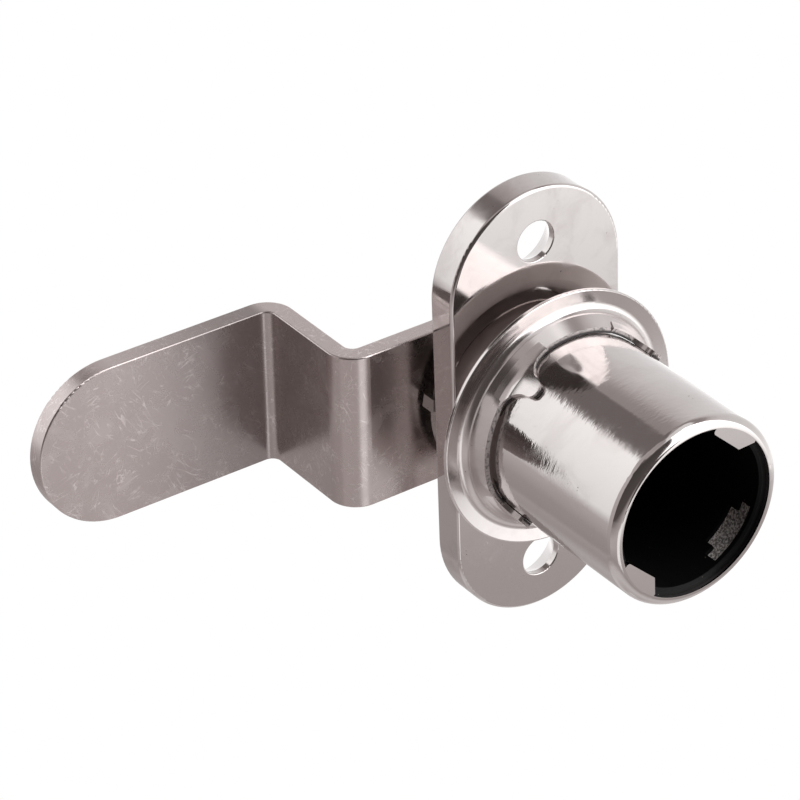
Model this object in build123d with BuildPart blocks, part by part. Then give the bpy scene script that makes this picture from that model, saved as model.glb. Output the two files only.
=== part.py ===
"""Screw-on furniture lever lock housing with a cranked cam and a push-on collar.

Millimetres. The tube's axis runs along Y with the mouth towards -Y, the mounting plate stands in
the XZ plane with its front face at Y = 0, and +Z is up. The origin is where the tube's axis meets
the plate's front face. Distances called "front" are measured from there towards the mouth (-Y),
distances called "back" into the furniture (+Y).
"""
import os
from math import asin, atan2, cos, degrees, hypot, radians, sin, tan

from build123d import *

# Mounting plate
plate_width = 18.3
plate_length = 43.3
plate_thickness = 3.1
plate_edge_radius = 0.3
screw_spacing = 33.0
screw_hole_d = 3.9
screw_hole_edge_radius = 0.1
screw_hole_straight = 0.65
countersink_d = 7.1

# Tube: the sleeve outside, the barrel under it and the liner in its bore
tube_d = 18.0
tube_reach = 22.3
sleeve_wall = 0.5
foot_height = 2.4
foot_step = 0.05
mouth_opening_d = 16.0
mouth_edge_radius = 0.95
liner_bore_d = 14.8
liner_wall = 0.45
liner_flange_thickness = 0.5
liner_lead_in = 0.2
bore_floor_front = 1.0
seat_gap = 0.02
flange_gap = 0.02

# Core key lugs in the mouth and catch window in the liner, both laid out from one direction
catch_angle = -44.0
lug_flat_from_axis = 6.5
lug_near_end = 0.0
lug_far_end = -3.9
lug_slant = 1.2
lug_near_radius = 1.1
lug_far_radius = 0.3
window_wide_arc = 44.0
window_below_flange = 0.13
window_wide_depth = 1.4
window_narrow_arc = 29.0
window_narrow_depth = 1.0
pocket_depth = 0.25

# Turning parts: driver, washers, spring, cam and screw
cam_rest_angle = 1.1
turn_range = 90.0
running_gap = 0.05
thrust_washer_thickness = 0.3
thrust_washer_d = 13.6
driver_flange_thickness = 2.7
driver_edge_radius = 0.3
driver_slot_width = 3.2
driver_slot_length = 10.0
driver_slot_depth = 2.0
driver_pilot_d = 5.0
journal_d = 10.0
square_size = 7.0
square_fit = 0.03
square_shortfall = 0.2
stop_washer_d = 17.8
stop_washer_thickness = 0.8
stop_lug_angle = -9.0
stop_lug_radius = 7.05
stop_lug_width = 1.2
stop_lug_length = 2.4
stop_lug_reach = 1.5
stop_groove_gap = 0.2
stop_groove_floor_gap = 0.3
stop_end_gap = 0.1
tab_angle = 171.0
tab_width = 1.2
tab_reach = 0.5
tab_bend = 0.6
spring_height = 1.0
spring_strip = 0.4
spring_outer_d = 15.2
spring_hole_gap = 0.25

# Cam: cranked strip with full round ends
cam_width = 15.5
cam_thickness = 1.8
cam_length = 41.35
crank_at = 17.25
crank_height = 11.83
bend_inner_radius = 0.9
cam_edge_radius = 0.15

# Cam fastening
cam_washer_d = 14.0
cam_washer_thickness = 1.0
lock_washer_d = 8.0
lock_washer_thickness = 0.6
lock_tooth_count = 8
lock_tooth_width = 0.9
lock_ring_width = 0.9
screw_d = 4.0
screw_length = 7.0
screw_bore_spare = 1.0
screw_fit = 0.02
screw_head_d = 7.6
screw_head_height = 2.4
screw_head_rim = 0.9
cross_width = 1.0
cross_length = 3.6
cross_depth = 1.2
cross_taper = 12.0

# Collar: its neck hugs the tube from one tongue to the next, and stands off in the quarters between
collar_front = 3.15
collar_sheet = 0.45
collar_dish = 0.28
collar_fillet = 0.8
collar_back_fillet = 1.0
rim_radius = 0.12
neck_base_gap = 1.375
flange_width = 1.975
neck_root_height = 0.45
fillet_spare = 0.01
neck_root_step = 0.02
neck_root_overlap = 0.1
grip_gap = 0.05
grip_height = 1.85
relief_gap = 0.35
relief_height = 2.2
grip_overrun = 8.0
blend_arc = 18.0
blend_steps = 4
tongue_count = 4
tongue_angle = 128.7
tongue_sector = 50.0
tongue_height = 4.71
tongue_foot_height = 1.05
tongue_tip_width = 1.45
tongue_tip_radius = 0.68
tongue_root_width = 2.2
tongue_root_rise = 0.4
tongue_reach = 3.6
tongue_flare = 2.2
tongue_bend_radius = 1.2
notch_angle = 58.5
notch_width = 1.1
notch_depth = 0.3

# How close two measures lie when they count as the same, and two directions as parallel
same_place = 0.01
same_direction = 0.99

# Sizes that follow
tube_r = tube_d / 2
barrel_r = tube_r - sleeve_wall - seat_gap
foot_r = tube_r - foot_step
liner_outer_r = liner_bore_d / 2 + liner_wall
barrel_bore_r = liner_outer_r + seat_gap
liner_front = tube_reach - sleeve_wall - flange_gap
barrel_front = liner_front - liner_flange_thickness
window_wide_front = barrel_front - window_below_flange
driver_flange_back = bore_floor_front + thrust_washer_thickness + running_gap / 2
driver_flange_front = driver_flange_back + driver_flange_thickness
driver_flange_r = liner_bore_d / 2 - running_gap
journal_hole_r = journal_d / 2 + running_gap
stop_washer_front_y = plate_thickness + running_gap
stop_washer_back_y = stop_washer_front_y + stop_washer_thickness
cam_front_y = stop_washer_back_y + spring_height
cam_back_y = cam_front_y + cam_thickness
cam_washer_back_y = cam_back_y + cam_washer_thickness
lock_washer_back_y = cam_washer_back_y + lock_washer_thickness
square_back_y = cam_back_y - square_shortfall
square_hole = square_size + 2 * square_fit
screw_tip_y = lock_washer_back_y - screw_length
stop_lug_r_in = stop_lug_radius - stop_lug_width / 2
stop_lug_r_out = stop_lug_radius + stop_lug_width / 2
stop_lug_half_arc = degrees(asin(stop_lug_length / 2 / stop_lug_radius))
stop_end_arc = degrees(stop_end_gap / stop_lug_radius)

# The turning parts are drawn level and placed on planes that lean by the cam's angle at rest
lean_cos = cos(radians(cam_rest_angle))
lean_sin = sin(radians(cam_rest_angle))
swing = Plane(origin=(0, 0, 0), x_dir=(lean_cos, 0, -lean_sin), z_dir=(0, -1, 0))
swing_side = Plane(origin=(0, 0, 0), x_dir=(lean_cos, 0, -lean_sin), z_dir=(lean_sin, 0, lean_cos))

os.makedirs("parts", exist_ok=True)


def back_plane(plane: Plane, distance: float) -> Plane:
    """A plane parallel to the plate, this far behind the plate's front face."""
    return plane.offset(-distance)


def ring_sector(inner_r: float, outer_r: float, start: float, arc: float) -> None:
    """Add a sector of a ring to the open sketch, from start over arc degrees."""
    end = start + arc
    with BuildLine() as outline:
        CenterArc((0, 0), outer_r, start, arc)
        Line((outer_r * cos(radians(end)), outer_r * sin(radians(end))),
             (inner_r * cos(radians(end)), inner_r * sin(radians(end))))
        CenterArc((0, 0), inner_r, start, arc)
        Line((inner_r * cos(radians(start)), inner_r * sin(radians(start))),
             (outer_r * cos(radians(start)), outer_r * sin(radians(start))))
    make_face(outline.edges())


# Housing: plate and barrel in one casting
with BuildPart() as housing:
    with BuildSketch(back_plane(Plane.XZ, plate_thickness)):
        SlotOverall(plate_length, plate_width, rotation=90)
    extrude(amount=plate_thickness)
    with BuildSketch(Plane.XZ.offset(-plate_thickness)):
        with Locations((0, screw_spacing / 2), (0, -screw_spacing / 2)):
            Circle(screw_hole_d / 2)
    extrude(amount=plate_thickness, mode=Mode.SUBTRACT)
    hole_edges = housing.edges().filter_by(GeomType.CIRCLE).filter_by(
        lambda edge: abs(edge.radius - screw_hole_d / 2) < same_place)
    rim_edges = housing.edges().filter_by(Axis.Y, reverse=True) - hole_edges
    fillet(rim_edges, plate_edge_radius)
    front_hole_edges = housing.edges().filter_by(GeomType.CIRCLE).filter_by(
        lambda edge: abs(edge.radius - screw_hole_d / 2) < same_place and edge.center().Y < same_place)
    fillet(front_hole_edges, screw_hole_edge_radius)
    # The wood screws go in from the back, into cast countersinks
    for side in (1, -1):
        with BuildSketch(Plane.YZ):
            with BuildLine():
                Polyline(
                    (screw_hole_straight, side * screw_spacing / 2),
                    (screw_hole_straight, side * screw_spacing / 2 + screw_hole_d / 2),
                    (plate_thickness, side * screw_spacing / 2 + countersink_d / 2),
                    (plate_thickness, side * screw_spacing / 2),
                    close=True,
                )
            make_face()
        revolve(axis=Axis((0, 0, side * screw_spacing / 2), (0, 1, 0)), mode=Mode.SUBTRACT)
    # The barrel's foot is wider, and the sleeve stands on its shoulder
    with BuildSketch(Plane.XZ.offset(-plate_edge_radius)):
        Circle(foot_r)
    extrude(amount=plate_edge_radius + foot_height)
    with BuildSketch(Plane.XZ):
        Circle(barrel_r)
    extrude(amount=barrel_front)
    with BuildSketch(Plane.XZ.offset(bore_floor_front)):
        Circle(barrel_bore_r)
    extrude(amount=barrel_front - bore_floor_front, mode=Mode.SUBTRACT)
    with BuildSketch(back_plane(Plane.XZ, plate_thickness)):
        Circle(journal_hole_r)
    extrude(amount=plate_thickness + bore_floor_front, mode=Mode.SUBTRACT)
    # Arc groove in the back for the stop washer's lug: it ends the quarter turn
    groove_end = stop_lug_angle + stop_lug_half_arc + stop_end_arc
    groove_arc = turn_range + 2 * (stop_lug_half_arc + stop_end_arc)
    with BuildSketch(back_plane(Plane.XZ, plate_thickness)):
        ring_sector(stop_lug_r_in - stop_groove_gap, stop_lug_r_out + stop_groove_gap,
                    groove_end - groove_arc, groove_arc)
    extrude(amount=stop_lug_reach + stop_groove_floor_gap, mode=Mode.SUBTRACT)
    # Shallow pocket behind the liner's window for the tip of the core's catch
    with BuildSketch(Plane.XZ.offset(window_wide_front - window_wide_depth - window_narrow_depth)):
        ring_sector(barrel_bore_r - seat_gap, barrel_bore_r + pocket_depth,
                    catch_angle - window_narrow_arc / 2, window_narrow_arc)
    extrude(amount=window_narrow_depth + window_wide_depth, mode=Mode.SUBTRACT)
housing.part.label = "housing"

# Sleeve: drawn cup over the barrel, its rim turned in, with two flat lugs that key the core
with BuildPart() as barrel_sleeve:
    with BuildSketch(Plane.XZ.offset(foot_height)):
        Circle(tube_r)
    extrude(amount=tube_reach - foot_height)
    fillet(barrel_sleeve.faces().sort_by(Axis.Y)[0].edges(), mouth_edge_radius)
    with BuildSketch(Plane.XZ.offset(foot_height)):
        Circle(tube_r - sleeve_wall)
    extrude(amount=tube_reach - sleeve_wall - foot_height, mode=Mode.SUBTRACT)
    with BuildSketch(Plane.XZ.offset(tube_reach - sleeve_wall)) as mouth:
        Circle(mouth_opening_d / 2)
        for side in (1, -1):
            with BuildSketch(mode=Mode.PRIVATE) as lug:
                with BuildLine():
                    Polyline(
                        (lug_far_end, side * tube_r),
                        (lug_far_end, side * lug_flat_from_axis),
                        (lug_near_end, side * lug_flat_from_axis),
                        (lug_near_end + lug_slant, side * (lug_flat_from_axis + lug_slant)),
                        (lug_near_end + lug_slant, side * tube_r),
                        close=True,
                    )
                make_face()
                inner_corners = lug.vertices().group_by(lambda vertex: round(abs(vertex.Y), 3))[0]
                far_corner, near_corner = inner_corners.sort_by(Axis.X)
                fillet(far_corner, lug_far_radius)
                fillet(near_corner, lug_near_radius)
            add(lug.sketch, rotation=catch_angle, mode=Mode.SUBTRACT)
    extrude(amount=sleeve_wall, mode=Mode.SUBTRACT)
barrel_sleeve.part.label = "barrel_sleeve"

# Liner: black tube the core slides into, with a flange trapped under the sleeve's rim
with BuildPart() as bore_liner:
    with BuildSketch(Plane.XZ.offset(bore_floor_front)):
        Circle(liner_outer_r)
    extrude(amount=liner_front - bore_floor_front)
    with BuildSketch(Plane.XZ.offset(barrel_front)):
        Circle(tube_r - sleeve_wall - seat_gap)
    extrude(amount=liner_flange_thickness)
    with BuildSketch(Plane.XZ.offset(bore_floor_front)):
        Circle(liner_bore_d / 2)
    extrude(amount=liner_front - bore_floor_front, mode=Mode.SUBTRACT)
    mouth_edge = bore_liner.faces().sort_by(Axis.Y)[0].edges().sort_by(SortBy.LENGTH)[0]
    chamfer(mouth_edge, liner_lead_in)
    with BuildSketch(Plane.XZ.offset(window_wide_front)):
        ring_sector(liner_bore_d / 2 - liner_wall, liner_outer_r + liner_wall,
                    catch_angle - window_wide_arc / 2, window_wide_arc)
    extrude(amount=-window_wide_depth, mode=Mode.SUBTRACT)
    with BuildSketch(Plane.XZ.offset(window_wide_front - window_wide_depth)):
        ring_sector(liner_bore_d / 2 - liner_wall, liner_outer_r + liner_wall,
                    catch_angle - window_narrow_arc / 2, window_narrow_arc)
    extrude(amount=-window_narrow_depth, mode=Mode.SUBTRACT)
bore_liner.part.label = "bore_liner"

# Thrust washer on the floor of the bore
with BuildPart() as thrust_washer:
    with BuildSketch(Plane.XZ.offset(bore_floor_front)):
        Circle(thrust_washer_d / 2)
        Circle(journal_hole_r, mode=Mode.SUBTRACT)
    extrude(amount=thrust_washer_thickness)
thrust_washer.part.label = "thrust_washer"

# Driver: slotted flange in the bore, journal through the plate and square for the cam
with BuildPart() as driver:
    with BuildSketch(swing.offset(driver_flange_back)):
        Circle(driver_flange_r)
    extrude(amount=driver_flange_thickness)
    fillet(driver.faces().sort_by(Axis.Y)[0].edges(), driver_edge_radius)
    with BuildSketch(back_plane(swing, stop_washer_front_y)):
        Circle(journal_d / 2)
    extrude(amount=stop_washer_front_y + driver_flange_back)
    with BuildSketch(back_plane(swing, square_back_y)):
        Rectangle(square_size, square_size)
        Circle(journal_d / 2, mode=Mode.INTERSECT)
    extrude(amount=square_back_y - stop_washer_front_y)
    with BuildSketch(back_plane(swing, square_back_y)):
        Circle(screw_d / 2)
    extrude(amount=square_back_y - screw_tip_y + screw_bore_spare, mode=Mode.SUBTRACT)
    with BuildSketch(swing.offset(driver_flange_front)):
        SlotOverall(driver_slot_length, driver_slot_width)
        Circle(driver_pilot_d / 2)
    extrude(amount=-driver_slot_depth, mode=Mode.SUBTRACT)
driver.part.label = "driver"

# Stop washer: one lug bent forward into the housing's groove and a small tab bent back at its rim
with BuildPart() as stop_washer:
    with BuildSketch(back_plane(swing, stop_washer_back_y)):
        Circle(stop_washer_d / 2)
        Rectangle(square_hole, square_hole, mode=Mode.SUBTRACT)
    extrude(amount=stop_washer_thickness)
    with BuildSketch(back_plane(swing, stop_washer_front_y)):
        ring_sector(stop_lug_r_in, stop_lug_r_out,
                    stop_lug_angle - stop_lug_half_arc, 2 * stop_lug_half_arc)
    extrude(amount=stop_lug_reach)
    with BuildSketch(back_plane(swing, stop_washer_back_y)):
        with Locations(Location((0, 0), tab_angle)):
            with Locations((stop_washer_d / 2, 0)):
                Rectangle(2 * tab_reach, tab_width)
    extrude(amount=stop_washer_thickness)
    with BuildSketch(back_plane(swing, stop_washer_back_y)):
        with Locations(Location((0, 0), tab_angle)):
            with Locations((stop_washer_d / 2 + tab_reach / 2, 0)):
                Rectangle(tab_reach, tab_width)
    extrude(amount=-tab_bend)
stop_washer.part.label = "stop_washer"

# Disc spring: shallow cone between the stop washer and the cam
spring_hole_r = hypot(square_size, square_size) / 2 + spring_hole_gap
with BuildPart() as disc_spring:
    with BuildSketch(Plane.XY):
        with BuildLine():
            Polyline(
                (spring_outer_d / 2, stop_washer_back_y),
                (spring_outer_d / 2, stop_washer_back_y + spring_strip),
                (spring_hole_r, cam_front_y),
                (spring_hole_r, cam_front_y - spring_strip),
                close=True,
            )
        make_face()
    revolve(axis=Axis.Y)
disc_spring.part.label = "disc_spring"

# Cam: strip bent twice, then blanked to full round ends
bend_mid_radius = bend_inner_radius + cam_thickness / 2
near_y = cam_front_y + cam_thickness / 2
far_y = near_y + crank_height
mid_x = -(crank_at - cam_thickness / 2)
cam_centres = cam_length - cam_width / 2
with BuildPart() as cam:
    with BuildSketch(swing_side.offset(-cam_width / 2)):
        with BuildLine():
            FilletPolyline(
                (cam_width, near_y),
                (mid_x, near_y),
                (mid_x, far_y),
                (-cam_length, far_y),
                radius=bend_mid_radius,
            )
        trace(line_width=cam_thickness)
    extrude(amount=cam_width)
    with BuildSketch(swing):
        with Locations((-cam_centres / 2, 0)):
            SlotCenterToCenter(cam_centres, cam_width)
    extrude(amount=-(far_y + cam_thickness), mode=Mode.INTERSECT)
    bend_lines = cam.edges().filter_by(GeomType.LINE).filter_by(
        lambda edge: abs((edge @ 1 - edge @ 0).normalized().dot(swing_side.z_dir)) > same_direction)
    side_seams = cam.edges().filter_by(Axis.Y).filter_by(
        lambda edge: edge.length < cam_thickness + cam_edge_radius)
    fillet(cam.edges() - bend_lines - side_seams, cam_edge_radius)
    with BuildSketch(swing):
        Rectangle(square_hole, square_hole)
    extrude(amount=-(cam_back_y + cam_thickness), mode=Mode.SUBTRACT)
cam.part.label = "cam"

# Plain washer that bridges the square and clamps the cam
with BuildPart() as cam_washer:
    with BuildSketch(back_plane(swing, cam_washer_back_y)):
        Circle(cam_washer_d / 2)
        Circle(screw_d / 2 + spring_hole_gap, mode=Mode.SUBTRACT)
    extrude(amount=cam_washer_thickness)
cam_washer.part.label = "cam_washer"

# Lock washer with inner teeth
with BuildPart() as lock_washer:
    with BuildSketch(back_plane(swing, lock_washer_back_y)):
        Circle(lock_washer_d / 2)
        Circle(lock_washer_d / 2 - lock_ring_width, mode=Mode.SUBTRACT)
        tooth_inner = screw_d / 2 + running_gap
        tooth_outer = lock_washer_d / 2 - lock_ring_width / 2
        with PolarLocations((tooth_inner + tooth_outer) / 2, lock_tooth_count):
            Rectangle(tooth_outer - tooth_inner, lock_tooth_width)
        Circle(tooth_inner, mode=Mode.SUBTRACT)
    extrude(amount=lock_washer_thickness)
lock_washer.part.label = "lock_washer"

# Cam screw: pan head with a cross recess
head_back_y = lock_washer_back_y + screw_head_height
with BuildPart() as cam_screw:
    with BuildSketch(back_plane(swing, head_back_y)):
        Circle(screw_head_d / 2)
    extrude(amount=screw_head_height)
    fillet(cam_screw.faces().sort_by(Axis.Y)[-1].edges(), screw_head_height - screw_head_rim)
    with BuildSketch(back_plane(swing, lock_washer_back_y)):
        Circle(screw_d / 2 - screw_fit)
    extrude(amount=screw_length)
    with BuildSketch(back_plane(swing, head_back_y)):
        Rectangle(cross_length, cross_width)
        Rectangle(cross_width, cross_length)
    extrude(amount=cross_depth, taper=cross_taper, mode=Mode.SUBTRACT)
cam_screw.part.label = "cam_screw"

# Collar: dished flange drawn up into a neck that grips the tube, with four tongues along the tube
neck_base_r = tube_r + neck_base_gap
collar_r = neck_base_r + flange_width
neck_root_front = collar_front + neck_root_height
grip_front = collar_front + grip_height
relief_front = collar_front + relief_height
tongue_front = collar_front + tongue_height
tongue_foot_front = collar_front + tongue_foot_height
grip_r = tube_r + grip_gap
relief_r = tube_r + relief_gap
dish_front = collar_front - collar_dish
neck_slope = (neck_base_r - relief_r - collar_sheet) / (relief_front - dish_front)
root_outer_r = neck_base_r - neck_slope * (neck_root_front - dish_front)
root_inner_r = root_outer_r - collar_sheet
# The fillets at the neck's base are limited by the neck up to its root
neck_inwards = neck_base_r - root_outer_r
base_rise = neck_root_front - dish_front
back_rise = base_rise + collar_sheet
base_turn = radians(90) + atan2(collar_dish, flange_width) - atan2(neck_inwards, base_rise)
back_turn = radians(90) + atan2(collar_dish, flange_width) - atan2(neck_inwards, back_rise)
base_fillet = min(collar_fillet, (hypot(neck_inwards, base_rise) - fillet_spare) / tan(base_turn / 2))
back_fillet = min(collar_back_fillet, (hypot(neck_inwards, back_rise) - fillet_spare) / tan(back_turn / 2))
# The flare at a tongue's root is limited by the tongue's side up to its tip
side_inwards = (tongue_root_width - tongue_tip_width) / 2
side_rise = tongue_front - grip_front - tongue_root_rise
side_slope = atan2(side_inwards, side_rise)
tip_length = tongue_tip_radius * tan((radians(90) - side_slope) / 2)
root_slope = atan2(tongue_root_rise, tongue_reach - tongue_root_width / 2)
root_turn = radians(90) - side_slope - root_slope
root_room = hypot(side_inwards, side_rise) - tip_length - fillet_spare
root_flare = min(tongue_flare, root_room / tan(root_turn / 2))
tongue_pitch = 360 / tongue_count
grip_arc = tongue_pitch + 2 * grip_overrun
relief_arc = 2 * tongue_pitch - grip_arc - 2 * blend_arc
grip_start = tongue_angle - tongue_pitch - grip_overrun


def turned_plane(angle: float) -> Plane:
    """The half-plane through the tube's axis at an angle: across is the radius, up is +Y."""
    outwards = (cos(radians(angle)), 0, sin(radians(angle)))
    return Plane(origin=(0, 0, 0), x_dir=outwards, z_dir=(-outwards[2], 0, outwards[0]))


def unrolled_plane(angle: float) -> Plane:
    """The plane that faces outwards at an angle: across follows the tube round, up is its front."""
    outwards = (cos(radians(angle)), 0, sin(radians(angle)))
    return Plane(origin=(0, 0, 0), x_dir=(-outwards[2], 0, outwards[0]), z_dir=outwards)


def neck_section(angle: float, grip: float, tongue: bool = False) -> Face:
    """The neck's section at an angle, from standing off (grip 0) to gripping (grip 1) the tube."""
    inner_r = relief_r + grip * (grip_r - relief_r)
    front = relief_front + grip * (grip_front - relief_front)
    foot_front = neck_root_front - neck_root_overlap
    # The sheet's edge is square to its outer face
    inwards = root_outer_r - inner_r
    forwards = front - neck_root_front
    slope = atan2(inwards, forwards) - asin(collar_sheet / hypot(inwards, forwards))
    edge = [(inner_r + collar_sheet * cos(slope), collar_sheet * sin(slope) - front)]
    bend_front = neck_root_front + (inwards - collar_sheet) / tan(slope)
    if tongue:
        edge = [(inner_r + collar_sheet, -bend_front),
                (inner_r + collar_sheet, -tongue_front),
                (inner_r, -tongue_front)]
    with BuildSketch(turned_plane(angle)) as section:
        with BuildLine():
            Polyline(
                (root_outer_r - neck_root_overlap, -foot_front),
                (root_outer_r - neck_root_step, -neck_root_front),
                *edge,
                (inner_r, -front),
                (root_inner_r + neck_root_step, -neck_root_front),
                (root_inner_r + neck_root_overlap, -foot_front),
                close=True,
            )
        make_face()
        if tongue:
            outer_bend = section.vertices().sort_by_distance((inner_r + collar_sheet, -bend_front))[0]
            fillet(outer_bend, tongue_bend_radius + collar_sheet)
            inner_bend = section.vertices().sort_by_distance((inner_r, -front))[0]
            fillet(inner_bend, tongue_bend_radius)
    return section.sketch.face()


def blended_sections(start: float, grip_from: float, grip_to: float) -> list[Face]:
    """Neck sections over one blend, whose grip changes slowly at both ends."""
    sections = []
    for step in range(blend_steps + 1):
        along = step / blend_steps
        eased = along * along * (3 - 2 * along)
        sections.append(neck_section(start + blend_arc * along, grip_from + (grip_to - grip_from) * eased))
    return sections


with BuildPart() as collar:
    with BuildSketch(Plane.XY) as flange_profile:
        with BuildLine():
            Polyline(
                (collar_r, -collar_front),
                (neck_base_r, -dish_front),
                (root_outer_r, -neck_root_front),
                (root_inner_r, -neck_root_front),
                (neck_base_r - collar_sheet, -dish_front + collar_sheet),
                (collar_r, -collar_front + collar_sheet),
                close=True,
            )
        make_face()
        at_base = flange_profile.vertices().filter_by(lambda corner: abs(corner.X - neck_base_r) < same_place)
        fillet(at_base, base_fillet)
        at_back = flange_profile.vertices().filter_by(
            lambda corner: abs(corner.X - neck_base_r + collar_sheet) < same_place)
        fillet(at_back, back_fillet)
        at_rim = flange_profile.vertices().group_by(Axis.X)[-1]
        fillet(at_rim, rim_radius)
    revolve(axis=Axis.Y)
    for start in (grip_start, grip_start + 2 * tongue_pitch):
        grip_end = start + grip_arc
        relief_end = grip_end + blend_arc + relief_arc
        revolve(neck_section(grip_end, 1), axis=Axis.Y, revolution_arc=grip_arc)
        loft(blended_sections(grip_end, 1, 0))
        revolve(neck_section(relief_end, 0), axis=Axis.Y, revolution_arc=relief_arc)
        loft(blended_sections(relief_end, 0, 1))
    # Nick in the neck's edge
    with BuildSketch(unrolled_plane(notch_angle)):
        with Locations((0, grip_front)):
            Rectangle(notch_width, 2 * notch_depth)
    extrude(amount=collar_r, mode=Mode.SUBTRACT)
    # Tongue: the neck drawn on along the tube, cut to a rounded tip with flared roots
    with BuildPart(mode=Mode.PRIVATE) as tongue:
        revolve(neck_section(tongue_angle + tongue_sector / 2, 1, tongue=True),
                axis=Axis.Y, revolution_arc=tongue_sector)
        with BuildSketch(unrolled_plane(tongue_angle)) as outline:
            with BuildLine():
                Polyline(
                    (-tongue_reach, tongue_foot_front),
                    (-tongue_reach, grip_front),
                    (-tongue_root_width / 2, grip_front + tongue_root_rise),
                    (-tongue_tip_width / 2, tongue_front),
                    (tongue_tip_width / 2, tongue_front),
                    (tongue_root_width / 2, grip_front + tongue_root_rise),
                    (tongue_reach, grip_front),
                    (tongue_reach, tongue_foot_front),
                    close=True,
                )
            make_face()
            fillet(outline.vertices().group_by(Axis.Y)[-1], tongue_tip_radius)
            roots = outline.vertices().filter_by(
                lambda corner: abs(abs(corner.X) - tongue_root_width / 2) < same_place)
            fillet(roots, root_flare)
        extrude(amount=collar_r, mode=Mode.INTERSECT)
    for number in range(tongue_count):
        add(tongue.part.rotate(Axis.Y, number * tongue_pitch))
collar.part.label = "collar"

parts = {
    "housing": housing,
    "barrel_sleeve": barrel_sleeve,
    "bore_liner": bore_liner,
    "thrust_washer": thrust_washer,
    "driver": driver,
    "stop_washer": stop_washer,
    "disc_spring": disc_spring,
    "cam": cam,
    "cam_washer": cam_washer,
    "lock_washer": lock_washer,
    "cam_screw": cam_screw,
    "collar": collar,
}
for name, piece in parts.items():
    export_step(piece.part, f"parts/{name}.step")
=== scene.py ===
"""Studio scene of a screw-on furniture lever lock housing.

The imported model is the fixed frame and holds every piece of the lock. This script gives each piece
its finish and sets up the camera and the studio, whose walls the bright metal mirrors.
"""

import logging
from abc import ABC, abstractmethod
from dataclasses import dataclass
from enum import Enum
from functools import cached_property
from math import cos, radians, sin

import bpy
from mathutils import Matrix, Vector

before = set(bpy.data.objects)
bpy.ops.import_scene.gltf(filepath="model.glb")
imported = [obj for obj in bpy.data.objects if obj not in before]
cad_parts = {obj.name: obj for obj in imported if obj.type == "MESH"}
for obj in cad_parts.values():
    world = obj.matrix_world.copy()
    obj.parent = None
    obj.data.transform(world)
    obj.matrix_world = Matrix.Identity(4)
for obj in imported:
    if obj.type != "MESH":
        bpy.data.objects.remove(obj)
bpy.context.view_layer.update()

MM = 0.001
FULL_TURN = 360.0
NOISE_MIDDLE = 0.5

log = logging.getLogger("lever_lock")

Colour = tuple[float, float, float]
Range = tuple[float, float]
Inputs = bpy.types.NodeInputs
Outputs = bpy.types.NodeOutputs
Socket = bpy.types.NodeSocket
Number = float | Socket
Paint = Colour | Socket

BLACK: Colour = (0.0, 0.0, 0.0)
WHITE: Colour = (1.0, 1.0, 1.0)


def direction(azimuth: float, elevation: float) -> Vector:
    """Unit vector from the lock towards a place in the studio.

    Args:
        azimuth: Degrees from the front (-Y) towards the right (+X).
        elevation: Degrees above the horizon.

    Returns:
        The direction in the frame's axes.
    """
    turn, lift = radians(azimuth), radians(elevation)
    across = cos(lift)
    return Vector((sin(turn) * across, -cos(turn) * across, sin(lift)))


def rgba(colour: Colour) -> tuple[float, float, float, float]:
    """The colour with full opacity."""
    return (*colour, 1.0)


@dataclass(frozen=True)
class Noise:
    """One kind of noise.

    Attributes:
        scale: Lumps for each unit of the coordinates.
        detail: Octaves of finer noise.
        roughness: How strong the finer octaves are.
        distortion: How much the noise is warped.
    """

    scale: float = 1.0
    detail: float = 3.0
    roughness: float = 0.5
    distortion: float = 0.0


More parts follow.
